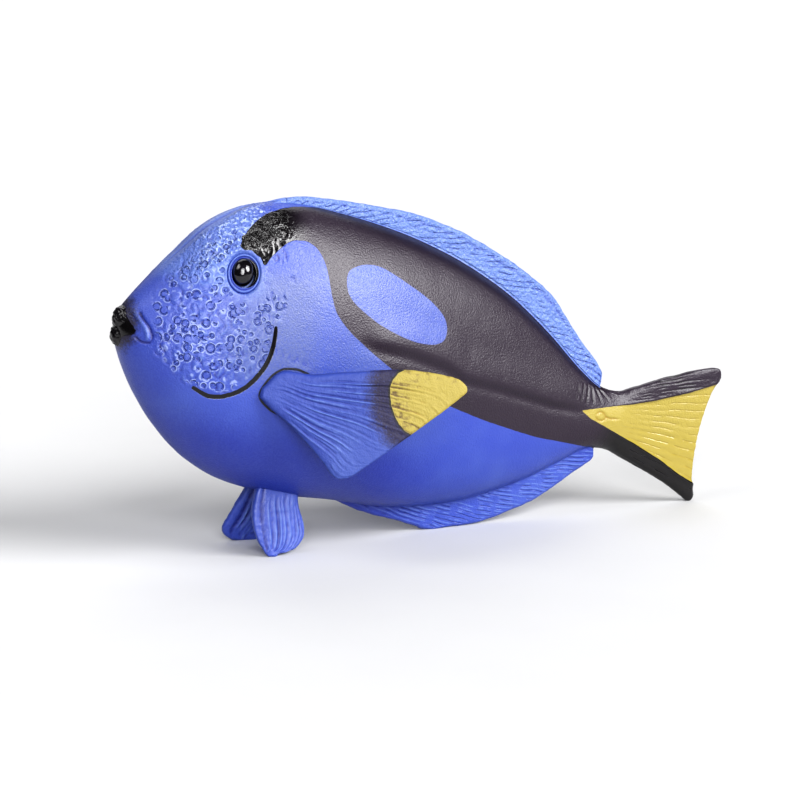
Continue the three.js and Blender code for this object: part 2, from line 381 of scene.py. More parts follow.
def half_section(shape, power, egg):
    """One side of a closed section between two edges, finely stepped, and its running length."""
    upper_s, upper_h, lower_s, lower_h, width, hollow = shape
    across = np.sin(np.linspace(math.pi / 2, -math.pi / 2, SECTION_STEPS))
    y = width * (1 - np.abs(across) ** (2 / power)).clip(0) ** (power / 2) * (1 - egg * across)
    s = (upper_s + lower_s) / 2 + (upper_s - lower_s) / 2 * across + hollow * (1 - across ** 2)
    h = (upper_h + lower_h) / 2 + (upper_h - lower_h) / 2 * across
    half = np.stack((s, y, h), 1)
    return half, running_length(half)


def spaced(half, arc, first, last, count, crowding=0.0):
    """Points along a section's side, at even distances or crowded towards the first."""
    share = np.linspace(0, 1, count)
    at = first + (last - first) * (share - crowding * share * (1 - share))
    return np.stack([np.interp(at, arc, half[:, k]) for k in range(3)], 1)


def fin_part(half, arc, even, edge, near_fin, on_fin):
    """The points from the mid-line to where the flank begins, on the body or over a fin."""
    thickness = min(FIN_THICKNESS, 0.5 * half[:, 1].max())
    widest = int(np.argmax(half[:, 1]))
    root_arc = np.interp(thickness, half[: widest + 1, 1], arc[: widest + 1]) if widest else 0.0
    end = even * (1 - near_fin) + root_arc * near_fin
    on_body = spaced(half, arc, 0, end, FIN_POINTS + 1)
    if on_fin <= 0:
        return on_body, end
    over_fin = blade((on_body[-1, 0], on_body[-1, 2]), edge, on_body[-1, 1])
    return on_body * (1 - on_fin) + over_fin * on_fin, end


def half_ring(shape):
    """One side of the body at one ring, from the back to the belly: s, y, h for each point."""
    back_s, belly_s, power = shape[0], shape[2], shape[6]
    half, arc = half_section(shape[:6], power, EGG * smoothstep(0.45, 1, power))
    even = arc[-1] * FIN_POINTS / HALF_RING
    near_fin = window(back_s, *NEAR_BACK_FIN)
    on_fin = window(back_s, *ON_BACK_FIN)
    top, top_end = fin_part(half, arc, even, back_fin_edge(back_s), near_fin, on_fin)
    near_fin = window(belly_s, *NEAR_BELLY_FIN)
    on_fin = window(belly_s, *ON_BELLY_FIN)
    edge = belly_fin_edge(belly_s)
    low, low_end = fin_part(half[::-1], arc[-1] - arc[::-1], even, edge, near_fin, on_fin)
    crowding = FACE_CROWDING * window(back_s, *ON_FACE)
    between = HALF_RING - 2 * FIN_POINTS + 1
    flank = spaced(half, arc, top_end, arc[-1] - low_end, between, crowding)
    return np.concatenate((top, flank[1:-1], low[::-1]))


def fin_edge_reader(rows, scallop):
    """Reads where a fin's edge lies, from the s of a ray's root. Its rear is faintly scalloped."""
    line = smooth_line(rows)
    root, edge_s, edge_h = line.T
    wave = np.sin(1.3 * root) * np.sin(0.31 * root + 1) + 0.5 * np.sin(3.3 * root + 1)

    def read(root_s):
        ripple = scallop * smoothstep(*SCALLOPED_FROM, root_s) * np.interp(root_s, root, wave)
        return np.interp(root_s, root, edge_s), np.interp(root_s, root, edge_h) + ripple

    return read


back_fin_edge = fin_edge_reader(BACK_FIN_ROWS, BACK_SCALLOP)
belly_fin_edge = fin_edge_reader(BELLY_FIN_ROWS, BELLY_SCALLOP)


def ring_table():
    """Every ring's side, rounded off at the tail's edge and softened along both fin roots."""
    shapes = through(BODY_ROWS, ring_places())
    end_s = (shapes[:, 0] + shapes[:, 2]) / 2
    retreat, full = rounded_end(end_s[-1] - end_s, TAIL_CORNER, TAIL_EDGE)
    shapes[:, 1] -= retreat
    shapes[:, 3] += retreat
    shapes[:, 4] *= full
    table = np.stack([half_ring(shape) for shape in shapes])
    for root in (FIN_POINTS, BELLY_ROOT_POINT):
        for _ in range(2):
            k = slice(root - 1, root + 2)
            table[:, k] = (table[:, root - 2:root + 1] + 2 * table[:, k] + table[:, root:root + 3]) / 4
    return table


def new_piece(name, shape, material, slot, *replaced):
    """Makes an object of a bmesh, shades it smooth, and ties it to the frame."""
    mesh = bpy.data.meshes.new(name)
    shape.to_mesh(mesh)
    shape.free()
    mesh.shade_smooth()
    mesh.materials.append(material)
    piece = bpy.data.objects.new(name, mesh)
    bpy.context.scene.collection.objects.link(piece)
    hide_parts(*replaced)
    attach(piece, BODY)
    return piece


def values(mesh, name):
    """A number kept on every vertex."""
    found = np.zeros(len(mesh.vertices), np.float32)
    mesh.attributes[name].data.foreach_get("value", found)
    return found.astype(float)


def keep_values(mesh, name, numbers):
    attribute = mesh.attributes.get(name) or mesh.attributes.new(name, "FLOAT", "POINT")
    attribute.data.foreach_set("value", np.asarray(numbers, np.float32))


def wrapped_grid(name, table, flare=None, right=False):
    """A grid of faces laid over a table of half rings and their mirror, closed along its edges.
    A flare gives how far to the left the middle of a paired fin stands."""
    rings, half = table.shape[0] - 1, table.shape[1] - 1
    shape = bmesh.new()
    shape.loops.layers.uv.new("OFBake")
    bmesh.ops.create_grid(shape, x_segments=rings, y_segments=2 * half, size=1, calc_uvs=True)
    mesh = bpy.data.meshes.new(name)
    shape.to_mesh(mesh)
    shape.free()
    grid = places_of(mesh)
    ring = np.rint((grid[:, 0] + 1) / 2 * rings).astype(int)
    around = np.rint((grid[:, 1] + 1) * half).astype(int)
    point = np.where(around <= half, around, 2 * half - around)
    s, y, h = (table[ring, point, k] for k in range(3))
    y = np.where(around <= half, -y, y) - (flare(s, h) if flare else 0)
    put_places(mesh, standing(s, -y if right else y, h))
    for label, numbers in (("s", s), ("h", h), ("point", point), ("ring", ring)):
        keep_values(mesh, label, numbers)
    shape = bmesh.new()
    shape.from_mesh(mesh)
    bpy.data.meshes.remove(mesh)
    bmesh.ops.remove_doubles(shape, verts=shape.verts, dist=CLOSING_GAP)
    bmesh.ops.recalc_face_normals(shape, faces=shape.faces)
    return shape


def places_of(mesh):
    place = np.zeros(len(mesh.vertices) * 3, np.float32)
    mesh.vertices.foreach_get("co", place)
    return place.reshape(-1, 3).astype(float)


def put_places(mesh, place):
    mesh.vertices.foreach_set("co", place.astype(np.float32).ravel())
    mesh.update()


def pushed_out(mesh, height):
    """Moves every vertex along its normal by so many millimetres, and none through the floor."""
    normal = np.zeros(len(mesh.vertices) * 3, np.float32)
    mesh.vertex_normals.foreach_get("vector", normal)
    place = places_of(mesh) + normal.reshape(-1, 3) * np.asarray(height)[:, None] * MM
    place[:, 2] = place[:, 2].clip(0)
    put_places(mesh, place)


def lumps(points, size):
    """Smooth noise from about -1 to 1 at each point, with lumps of that many millimetres."""
    scale = 1 / (size * MM)
    return np.array([noise.noise(Vector(p) * scale) for p in points])


def uneven(points, height, size):
    """Lumps of that height and that breadth, in millimetres, at each point."""
    return height * lumps(points, size)


def line_distance(s, h, line):
    """Each point's distance to a line in the fish's side view, and the share of its length there."""
    line = np.asarray(line, float)
    best = np.full(len(s), 1e9)
    along = np.zeros(len(s))
    lengths = running_length(line)
    for k in range(len(line) - 1):
        ds, dh = line[k + 1] - line[k]
        size = ds * ds + dh * dh
        if size == 0:
            continue
        f = np.clip(((s - line[k, 0]) * ds + (h - line[k, 1]) * dh) / size, 0, 1)
        apart = np.hypot(s - line[k, 0] - f * ds, h - line[k, 1] - f * dh)
        nearer = apart < best
        best[nearer] = apart[nearer]
        along[nearer] = (lengths[k] + f[nearer] * math.sqrt(size)) / lengths[-1]
    return best, along


def inside_distance(s, h, outline):
    """Distance in from a closed outline's edge, negative outside it."""
    outline = np.asarray(outline, float)
    closed = np.concatenate((outline, outline[:1]))
    apart, _ = line_distance(s, h, closed)
    inside = np.zeros(len(s), bool)
    for (s0, h0), (s1, h1) in zip(closed[:-1], closed[1:]):
        crosses = (h0 > h) != (h1 > h)
        if h0 != h1:
            inside ^= crosses & (s < (s1 - s0) * (h - h0) / (h1 - h0) + s0)
    return np.where(inside, apart, -apart)


# The black mark on the flank, the blue oval in it, the painted smile, the black mouth and the
# yellow of the tail are sprayed and brushed on through masks, whose outlines these are. The dark
# line round each breast fin's root is painted contact shade. The snout is airbrushed near black
# round the lips, and the back fin a lighter blue. A paler, greyer blue over the cheek and flank and
# a lighter blue over the forehead are painted sheen, and a darker blue over the belly is painted
# shade; the blue also darkens towards the front of the snout.
MARK_FRONT = ((41.0, 46.0), (38.6, 34.2), (37.3, 32.2), (33.1, 31.6), (30.5, 31.1), (28.4, 30.5),
              (26.6, 29.7), (24.6, 28.7), (22.8, 27.3), (21.5, 25.9), (20.0, 24.0), (19.5, 23.0),
              (19.2, 22.0), (19.9, 21.1), (21.2, 21.2), (22.5, 20.7), (23.5, 19.7), (24.2, 19.0),
              (25.3, 20.7), (26.9, 22.5), (28.3, 23.9), (30.4, 25.0), (33.3, 25.2), (35.5, 23.9),
              (36.9, 21.8), (37.9, 19.0), (39.0, 15.4), (40.6, 12.3), (44.0, 9.4), (48.2, 7.0),
              (54.0, 4.0), (61.0, 0.8), (67.0, -1.1), (73.2, -2.4), (80.5, -3.8), (88.3, -4.9),
              (95.8, -5.8), (103.6, -6.1), (110.0, -6.4), (113.5, -6.7), (114.6, -8.5))
MARK_REAR = ((114.6, -20), (150, -25), (150, 46))
OVAL = ((42.0, 18.7), (42.6, 21.4), (46.2, 23.1), (50.3, 23.1), (56.2, 21.1), (61.9, 18.8),
        (66.0, 16.0), (67.2, 13.3), (66.4, 11.0), (63.4, 9.8), (58.1, 9.9), (51.7, 11.5),
        (46.4, 13.9), (43.1, 16.2))
SMILE = ((27.8, 7.4), (27.9, 4.2), (27.5, 1.0), (26.5, -1.8), (24.9, -4.6), (22.8, -6.8),
         (20.2, -8.3), (17.8, -8.8), (16.1, -8.4), (14.5, -7.8))
SMILE_HALF_WIDTH = 0.48
TAIL_YELLOW = ((106.5, 1.3), (110.1, 2.2), (114.2, 3.1), (119.6, 4.3), (125.2, 6.0), (132.4, 8.7),
               (139.4, 11.8), (147, 15), (147, -12), (139.4, -10.1), (135.7, -8.9), (130.1, -6.5),
               (123.7, -4.3), (116.2, -2.1), (109.2, -0.1))
MOUTH_BLACK = ((-3, 7), (0.0, 5.0), (0.7, 3.0), (1.6, 1.7), (2.6, 0.6), (1.9, -0.5), (1.0, -1.0),
               (0.4, -2.8), (-3, -4))
FIN_ROOT_SHADE_OUTLINE = ((36.8, -0.9), (35.4, -0.2), (33.9, 0.1), (31.9, -0.1), (30.5, -0.6), (28.9, -2.1),
            (27.6, -4.6), (27.3, -6.3), (27.9, -7.4), (29.4, -8.5), (31.2, -9.3), (33.6, -9.4),
            (36.6, -8.4), (38.0, -5.0))

# How far the edge of each painted area wanders, and over what length, in millimetres.
MARK_WANDER = (0.07, 1.3)
NAPE_WANDER = (0.35, 0.8)
OVAL_WANDER = (0.06, 1.5)
SMILE_WANDER = (0.07, 0.6)
YELLOW_WANDER = (0.06, 1.0)
MOUTH_WANDER = (0.2, 0.7)
SNOUT_WANDER = (0.9, 1.6)
SMILE_TAPER = (0, 0.2, 0.8, 1)
POINT_APART = 0.5
FAR = 9

# How strong the airbrushed coats, the painted sheen and the painted shade are, and the s or h
# over which each comes in or fades.
SKY_ON_FIN = 0.8
SKY_S = (22, 32, 112, 118)
SHEEN_ON_FOREHEAD = 0.55
FOREHEAD_H = (9, 15)
FOREHEAD_S = (29, 20)
SHEEN_ON_CHEEK = 0.75
CHEEK_S = (7, 28, 32, 46)
CHEEK_H = (-12, 2)
SHEEN_ON_FLANK = 0.45
FLANK_S = (16, 30, 70, 95)
FLANK_H = (-8, 6)
SHEEN_TOP = (19, 13)
BELLY_SHADE = 0.7
BELLY_H = (-7, -19)
BELLY_S = (80, 60)
DARK_SNOUT = 0.4
SNOUT_S = (16, 8)
SNOUT_REACH = (7.4, 2.6)
NAPE_EDGE = (26, 23)
SHINY_SHADED_NAPE_S = (35, 28)
SHINE_AND_SHADE_UNDER_FIN = 0.5

# The colours, as mixed for this toy.
BLUE = (0.033, 0.062, 0.335, 1)
SKY_BLUE = (0.14, 0.215, 0.47, 1)
SHEEN_BLUE = (0.085, 0.11, 0.25, 1)
SHADED_BELLY_BLUE = (0.012, 0.026, 0.27, 1)
GLINT_WHITE = (0.55, 0.63, 0.85, 1)
DEEP_BLUE = (0.006, 0.012, 0.16, 1)
BLACK = (0.017, 0.008, 0.021, 1)
NAVY_BLACK = (0.012, 0.009, 0.035, 1)
BAND_BLACK = (0.010, 0.006, 0.045, 1)
JET = (0.003, 0.002, 0.003, 1)
YELLOW = (0.33, 0.265, 0.055, 1)
OCHRE = (0.27, 0.18, 0.02, 1)
BROWN = (0.085, 0.048, 0.012, 1)


def add_paint(mesh):
    """Keeps how far inside each painted area every vertex lies, in millimetres, and how well each
    airbrushed coat covers it, from 0 to 1."""
    s, h, point = (values(mesh, name) for name in ("s", "h", "point"))
    place = places_of(mesh)
    mark = list(smooth_line(MARK_FRONT)) + list(MARK_REAR)
    ragged = uneven(place, *NAPE_WANDER) * smoothstep(*NAPE_EDGE, s) * smoothstep(*NAPE_EDGE, h)
    black = inside_distance(s, h, mark) + ragged + uneven(place, *MARK_WANDER)
    below_fin = np.where((s > 36) & (s < 111.8), (point - FIN_POINTS) * POINT_APART, FAR)
    above_fin = np.where(s < 112.5, (BELLY_ROOT_POINT - point) * POINT_APART, FAR)
    black = np.minimum(np.minimum(black, below_fin), above_fin)
    oval = inside_distance(s, h, smooth_line(OVAL, closed=True)) + uneven(place, *OVAL_WANDER)
    keep_values(mesh, "black", np.minimum(black, -oval))
    apart, along = line_distance(s, h, smooth_line(SMILE))
    width = SMILE_HALF_WIDTH * (0.8 + 0.2 * window(along, *SMILE_TAPER))
    keep_values(mesh, "smile", width - apart + uneven(place, *SMILE_WANDER))
    yellow = inside_distance(s, h, TAIL_YELLOW)
    keep_values(mesh, "yellow", yellow + uneven(place, *YELLOW_WANDER))
    # A dark line round each breast fin's root: painted contact shade.
    keep_values(mesh, "fin_root_shade", inside_distance(s, h, smooth_line(FIN_ROOT_SHADE_OUTLINE, closed=True)))
    mouth = inside_distance(s, h, MOUTH_BLACK)
    keep_values(mesh, "mouth", mouth + uneven(place, *MOUTH_WANDER))
    from_lips = np.hypot(1.6 * (s + 0.3), 0.72 * (h - 1.2)) + uneven(place, *SNOUT_WANDER)
    keep_values(mesh, "snout", smoothstep(*SNOUT_REACH, from_lips))
    on_fin = smoothstep(FIN_POINTS + 1, FIN_POINTS - 1, point) * window(s, *SKY_S)
    # The back fin's lighter blue is paint; the lighter blue over the upper forehead is painted sheen.
    forehead = smoothstep(*FOREHEAD_H, h) * smoothstep(*FOREHEAD_S, s)
    keep_values(mesh, "sky", np.maximum(SKY_ON_FIN * on_fin, SHEEN_ON_FOREHEAD * forehead))
    # Painted sheen: a paler, greyer blue over the cheek and the middle of the flank.
    cheek = window(s, *CHEEK_S) * smoothstep(*CHEEK_H, h)
    flank = window(s, *FLANK_S) * smoothstep(*FLANK_H, h)
    painted_sheen = np.maximum(SHEEN_ON_CHEEK * cheek, SHEEN_ON_FLANK * flank)
    keep_values(mesh, "painted_sheen", painted_sheen * smoothstep(*SHEEN_TOP, h - 0.1 * s))
    # Painted shade: the blue darkens towards the bottom of the belly. It darkens towards the front of
    # the snout too.
    below = smoothstep(*BELLY_H, h) * smoothstep(*BELLY_S, s)
    dark = np.maximum(BELLY_SHADE * below, DARK_SNOUT * smoothstep(*SNOUT_S, s))
    keep_values(mesh, "belly", dark)
    # Glossier black, painted jet, on the nape, in a band under the back fin and on the tail's lower
    # lobe. The darker jet there is painted shade.
    nape = smoothstep(*SHINY_SHADED_NAPE_S, s)
    under_fin = smoothstep(FIN_POINTS + 9, FIN_POINTS + 2, point) * smoothstep(114, 110, s)
    lower_lobe = smoothstep(0.5, -1.5, h) * smoothstep(110, 118, s)
    shiny_and_shaded = np.maximum(np.maximum(nape, SHINE_AND_SHADE_UNDER_FIN * under_fin), lower_lobe)
    keep_values(mesh, "shiny_and_shaded", shiny_and_shaded)


# What the sculptor pressed into the skin: broken rings for scales over the face, crumbs on
# the forehead, the fold behind the mouth, the crease along the flank, rays in every fin,
# wrinkles at the tail's root, a small spine mark, and a few round bubbles.
FACE = ((4.8, 8.0), (8.0, 13.0), (12.5, 19.4), (17.4, 24.2), (19.2, 22.7), (17.2, 20.4),
        (16.4, 17), (16.8, 13.2), (20, 11.4), (24.4, 12.4), (28.6, 14), (29.4, 9.5), (27.2, 7),
        (27.0, 1), (25.2, -3), (22.4, -6), (18, -7.8), (14, -7), (10, -5.4), (7.2, -2.6), (6, 0.5),
        (5.4, 3.5))
FACE_RINGS = 420
FACE_RING_APART = 1.15
FACE_RING_SEEDS = (4, 9)
RING_SIZES = (0.5, 1.05)
RING_REACHES = (2.4, 5.6)
RING_SQUASHES = (0.75, 1.2)
RING_STRENGTHS = (0.6, 1.2)
RING_DEPTH = 0.14
RING_WIDTH = 0.22
RING_DOME = 0.08
RIM_OUT = 0.4
RIM_WIDTH = 0.24
RIM_HEIGHT = 0.07
CROWN_LINE = ((3, 7), (12, 15), (20, 21.5), (28, 26))
CRUMBS_S = (4, 14, 23, 31)
CRUMB_STRETCH = np.array((1.3, 1.0, 0.9))
OFF_EYE = (1.1, 1.3)
EYE_SINK = 1.5
TAIL_WEB_SINK = 0.3
JAW_FLAP = ((2.5, 4.6), (3.3, 3.2), (4.2, 2.2), (4.7, 1.4), (5.2, 0.2), (5.2, -0.6))
JAW_FLAP_FOOT = ((2.5, -0.5), (3.2, -1.1), (4.1, -1.3), (5.2, -0.9))
FLANK_CREASE = ((46, 7.8), (50.3, 6.9), (58.7, 6.5), (68.3, 5.1), (73.7, 3.1), (83.7, 2.5),
                (91.1, 1.7), (98.8, 0.9), (106.3, 1.0))
BUBBLES = ((30.1, 17.5, 0.42), (27.5, 26.2, 1.0), (25.9, 14.0, 0.3), (33.4, 1.8, 0.4),
           (25.3, 24.4, 0.7), (24.4, 22.3, 0.8), (22.6, 24.9, 0.6), (25.6, 22.2, 0.6),
           (42.5, 33.3, 0.5), (22.2, 22.7, 0.55), (24.0, 26.4, 0.6), (26.3, 20.9, 0.45))
BUBBLE_DEPTH = 0.2
BUBBLE_DOME = 0.10
BUBBLE_RIM = 0.08
DENTS = (((25.2, 14.9), (26.0, 14.2)), ((24.9, 13.2), (25.6, 12.2)), ((26.4, 12.2), (27.0, 11.2)),
         ((27.2, 22.8), (28.2, 22.3), (28.5, 21.0)), ((26.6, 21.6), (27.2, 20.9)),
         ((27.4, 20.9), (27.8, 20.2)), ((24.2, 15.6), (25.8, 16.0)), ((24.6, 18.2), (26.2, 18.0)),
         ((28.6, 3.4), (29.0, 2.0)), ((30.0, 3.0), (30.6, 1.8)), ((31.6, 2.9), (31.9, 1.8)),
         ((32.2, 1.6), (33.6, 2.0)), ((34.2, 1.8), (35.8, 1.2)))
WRINKLES = (((106.6, 6.9), (105.7, 2.9)), ((107.6, 7.0), (107.4, 2.9)), ((108.6, 6.7), (109.4, 3.2)),
            ((109.8, 6.5), (111.6, 3.6)), ((105.2, 6.4), (104.2, 3.6)), ((111.0, 6.3), (113.6, 4.4)))
SPINE = ((110.3, 0.8), (111.0, 1.5), (111.9, 1.7), (112.7, 1.3), (113.2, 0.8), (114.4, 0.6),
         (116.9, 0.8))
SPINE_UNDER = ((110.3, 0.6), (111.0, 0.0), (111.9, -0.2), (112.7, 0.2), (113.2, 0.7))

# Each kind of groove, as its width and its depth. A negative depth is a ridge.
JAW_GROOVE = (0.26, 0.34)
JAW_FOOT_GROOVE = (0.26, 0.3)
JAW_RIDGE = (0.3, -0.3)
JAW_RIDGE_OFF = (-0.65, -0.1)
SMILE_GROOVE = (0.4, 0.06)
DENT_GROOVE = (0.22, 0.17)
SPINE_GROOVE = (0.24, 0.2)
WRINKLE_GROOVE = (0.28, 0.14)
WRINKLE_RIDGE = (0.25, -0.1)
WRINKLE_RIDGE_OFF = (0.5, 0)

# Each eye's dish sinks into the cheek here, turned the way the eye looks.
EYE_DISH_AT = (20.1, 11.1, 16.65)
EYE_DISH_RADII = (3.1, 3.85)
EYE_FACES = Vector((-0.25, -0.9, 0.375)).normalized()
EYE_TURN = Vector((0, -1, 0)).rotation_difference(EYE_FACES).to_matrix()


def ridge(distance, width):
    """1 on a line, and less over about that width on either side."""
    return np.exp(-(distance / width) ** 2)


def groove(s, h, line, width, depth):
    """A rounded groove along a line, deepest in its middle. A negative depth is a ridge."""
    apart, along = line_distance(s, h, line)
    return -depth * ridge(apart, width) * (0.3 + 0.7 * window(along, 0, 0.12, 0.88, 1))


def beside(line, off):
    """The same line, moved by that s and h."""
    return [(s + off[0], h + off[1]) for s, h in line]


def ring_marks(s, h, side, seed):
    """Broken rings scattered over one side of the face, each with a low dome in it."""
    chance = np.random.default_rng(seed)
    face = smooth_line(FACE, 4, closed=True)
    low, high = face.min(axis=0), face.max(axis=0)
    height = np.zeros(len(s))
    placed = np.empty((0, 2))
    for _ in range(FACE_RINGS):
        centre = chance.uniform(low, high)
        size = chance.uniform(*RING_SIZES)
        start = chance.uniform(0, 2 * math.pi)
        reach = chance.uniform(*RING_REACHES)
        squash = chance.uniform(*RING_SQUASHES)
        strength = chance.uniform(*RING_STRENGTHS)
        if inside_distance(centre[:1], centre[1:], face)[0] < 0:
            continue
        if len(placed) and np.hypot(*(placed - centre).T).min() < FACE_RING_APART:
            continue
        placed = np.append(placed, [centre], axis=0)
        near = np.flatnonzero((np.abs(s - centre[0]) < 1.7) & (np.abs(h - centre[1]) < 1.7) & side)
        ds, dh = s[near] - centre[0], (h[near] - centre[1]) * squash
        out = np.hypot(ds, dh)
        turn = (np.arctan2(dh, ds) - start) % (2 * math.pi)
        arc = window(turn, 0, 0.3, reach, reach + 0.3)
        height[near] -= strength * RING_DEPTH * arc * ridge(out - size, RING_WIDTH)
        height[near] += strength * RING_DOME * (1 - (out / size) ** 2).clip(0)
        height[near] += strength * RIM_HEIGHT * arc * ridge(out - size - RIM_OUT, RIM_WIDTH)
    return height


def ray_grooves(across, spacing, wobble):
    """Grooves a set distance apart, from 0 between them to -1 in them."""
    return -(0.5 + 0.5 * np.cos(2 * math.pi * (across / spacing + wobble))) ** 2


# How steeply the rays of the back and belly fins climb, as s and degrees, and how far apart
# the rays lie, in millimetres. The tail's fan out from one place, so many degrees apart.
BACK_RAY_SLOPE = ((33, 30), (58, 14), (85, 4), (112, -16))
BELLY_RAY_SLOPE = ((55, -16), (80, -6), (112, 10))
BACK_RAY_SPACING = 1.15
BELLY_RAY_SPACING = 0.95
TAIL_RAY_SPACING = 2.6
TAIL_RAY_ROOT = (98.0, 0.2)
TAIL_LOBE_SPACING = 1.3
RAY_HEIGHT = 0.07
RAY_WOBBLES = ((0.5, 5.0), (0.2, 2.6))
BACK_RAYS_S = (26, 31, 112, 118)
BELLY_RAYS_S = (57, 60, 114, 118)
TAIL_LOBES_S = (116, 126, 138.5, 140.8)


def ray_rise(s, slopes):
    """How far a ray of that slope has risen by s."""
    steps = np.linspace(20, 120, 201)
    lean = np.tan(np.radians(np.interp(steps, *zip(*slopes))))
    return np.interp(s, steps, np.cumsum(lean) * (steps[1] - steps[0]))


def tail_angle(s, h):
    """Where in the tail's fan a place lies, in degrees."""
    return np.degrees(np.arctan2(h - TAIL_RAY_ROOT[1], s - TAIL_RAY_ROOT[0]))


def add_rays(mesh):
    """Counts the rays of the back, belly and tail fins from vertex to vertex, and keeps how
    plain they are there."""
    s, h, point = (values(mesh, name) for name in ("s", "h", "point"))
    place = places_of(mesh)
    top = window(point, 4, 6.5, FIN_POINTS - 2, FIN_POINTS) * window(s, *BACK_RAYS_S)
    edge = HALF_RING - 4
    low = window(point, BELLY_ROOT_POINT, BELLY_ROOT_POINT + 2, edge - 1.5, edge)
    low = low * window(s, *BELLY_RAYS_S)
    tail = smoothstep(117, 124, s)
    back_rays = (h - ray_rise(s, BACK_RAY_SLOPE)) / BACK_RAY_SPACING
    belly_rays = (h - ray_rise(s, BELLY_RAY_SLOPE)) / BELLY_RAY_SPACING
    rays = np.where(point < HALF_RING / 2, back_rays, belly_rays)
    wobble = uneven(place, *RAY_WOBBLES[0]) + uneven(place, *RAY_WOBBLES[1])
    tail_rays = tail_angle(s, h) / TAIL_RAY_SPACING + 0.4 * wobble
    keep_values(mesh, "rays", np.where(s > 116, tail_rays, rays + wobble))
    keep_values(mesh, "rayed", np.maximum(np.maximum(top, low), 0.4 * tail))


def midline_fin_relief(s, point, place):
    """The band along the back fin's edge, and the unevenness of both fins."""
    top = smoothstep(FIN_POINTS + 0.5, FIN_POINTS - 2, point) * smoothstep(28, 33, s)
    low = smoothstep(BELLY_ROOT_POINT - 0.5, BELLY_ROOT_POINT + 2, point) * smoothstep(57, 62, s)
    rough = uneven(place, 0.10, 1.3)
    band = -0.10 * ridge(point - 7, 0.9)
    foot = 0.12 * ridge(point - FIN_POINTS + 1.5, 1.2) * smoothstep(60, 75, s)
    return ((rough + band + foot) * top + rough * low) * smoothstep(118, 113, s)


def tail_relief(s, h, yellow, place):
    """Thick black rays above and below the yellow web, its raised edge, and the tail root's marks."""
    height = 0.12 * ridge(yellow + 0.25, 0.35) * smoothstep(112, 118, s)
    broken = 0.1 + 0.9 * smoothstep(-0.1, 0.35, lumps(place, 3.0))
    broken *= np.where(h > 0, 1, 0.2)
    wobble = uneven(place, 0.6, 5) + uneven(place, 0.25, 2)
    lobes = 0.2 * ray_grooves(tail_angle(s, h), TAIL_LOBE_SPACING, wobble)
    height += lobes * smoothstep(-0.3, -0.9, yellow) * broken * window(s, *TAIL_LOBES_S)
    height += uneven(place, 0.05, 0.9) * smoothstep(112, 118, s)
    for line in (SPINE, SPINE_UNDER):
        height += groove(s, h, smooth_line(line), *SPINE_GROOVE)
    for line in WRINKLES:
        height += groove(s, h, line, *WRINKLE_GROOVE)
        height += groove(s, h, beside(line, WRINKLE_RIDGE_OFF), *WRINKLE_RIDGE)
    return height


def eye_share(mesh):
    """How far out from the nearer eye's middle every vertex lies, as a share of its dish."""
    place = places_of(mesh) / MM
    x, y, z = place[:, 0] - LIPS_X, -np.abs(place[:, 1]), place[:, 2] - LIPS_HEIGHT
    s = x * math.cos(NOSE_UP) - z * math.sin(NOSE_UP) - EYE_DISH_AT[0]
    h = x * math.sin(NOSE_UP) + z * math.cos(NOSE_UP) - EYE_DISH_AT[2]
    turned = np.stack((s, y + EYE_DISH_AT[1], h), 1) @ np.array(EYE_TURN)
    return np.hypot(turned[:, 0] / EYE_DISH_RADII[0], turned[:, 2] / EYE_DISH_RADII[1])


def face_marks(s, h, left, flank, clear):
    """Broken rings, the flap behind the mouth, the line of the smile, the bubbles and the dents."""
    marks = sum(ring_marks(s, h, side, seed) for side, seed in zip((left, ~left), FACE_RING_SEEDS))
    marks *= clear
    marks += groove(s, h, smooth_line(JAW_FLAP), *JAW_GROOVE) * flank
    marks += groove(s, h, smooth_line(JAW_FLAP_FOOT), *JAW_FOOT_GROOVE) * flank
    marks += groove(s, h, smooth_line(beside(JAW_FLAP, JAW_RIDGE_OFF)), *JAW_RIDGE) * flank
    marks += groove(s, h, smooth_line(SMILE), *SMILE_GROOVE)
    for ring_s, ring_h, size in BUBBLES:
        out = np.hypot(s - ring_s, h - ring_h)
        marks -= BUBBLE_DEPTH * ridge(out - size, RING_WIDTH)
        marks += BUBBLE_DOME * (1 - (out / size) ** 2).clip(0)
        marks += BUBBLE_RIM * ridge(out - size - RIM_OUT, RING_WIDTH)
    for line in DENTS:
        marks += groove(s, h, line, *DENT_GROOVE)
    return marks


def flank_crease(s, h):
    """A soft swelling along the flank over a crease."""
    over = h - np.interp(s, *zip(*FLANK_CREASE))
    swelling = 0.6 * window(over, -0.2, 1.8, 2, 9)
    return window(s, 45, 54, 100, 110) * (swelling - 0.32 * ridge(over, 1.1))


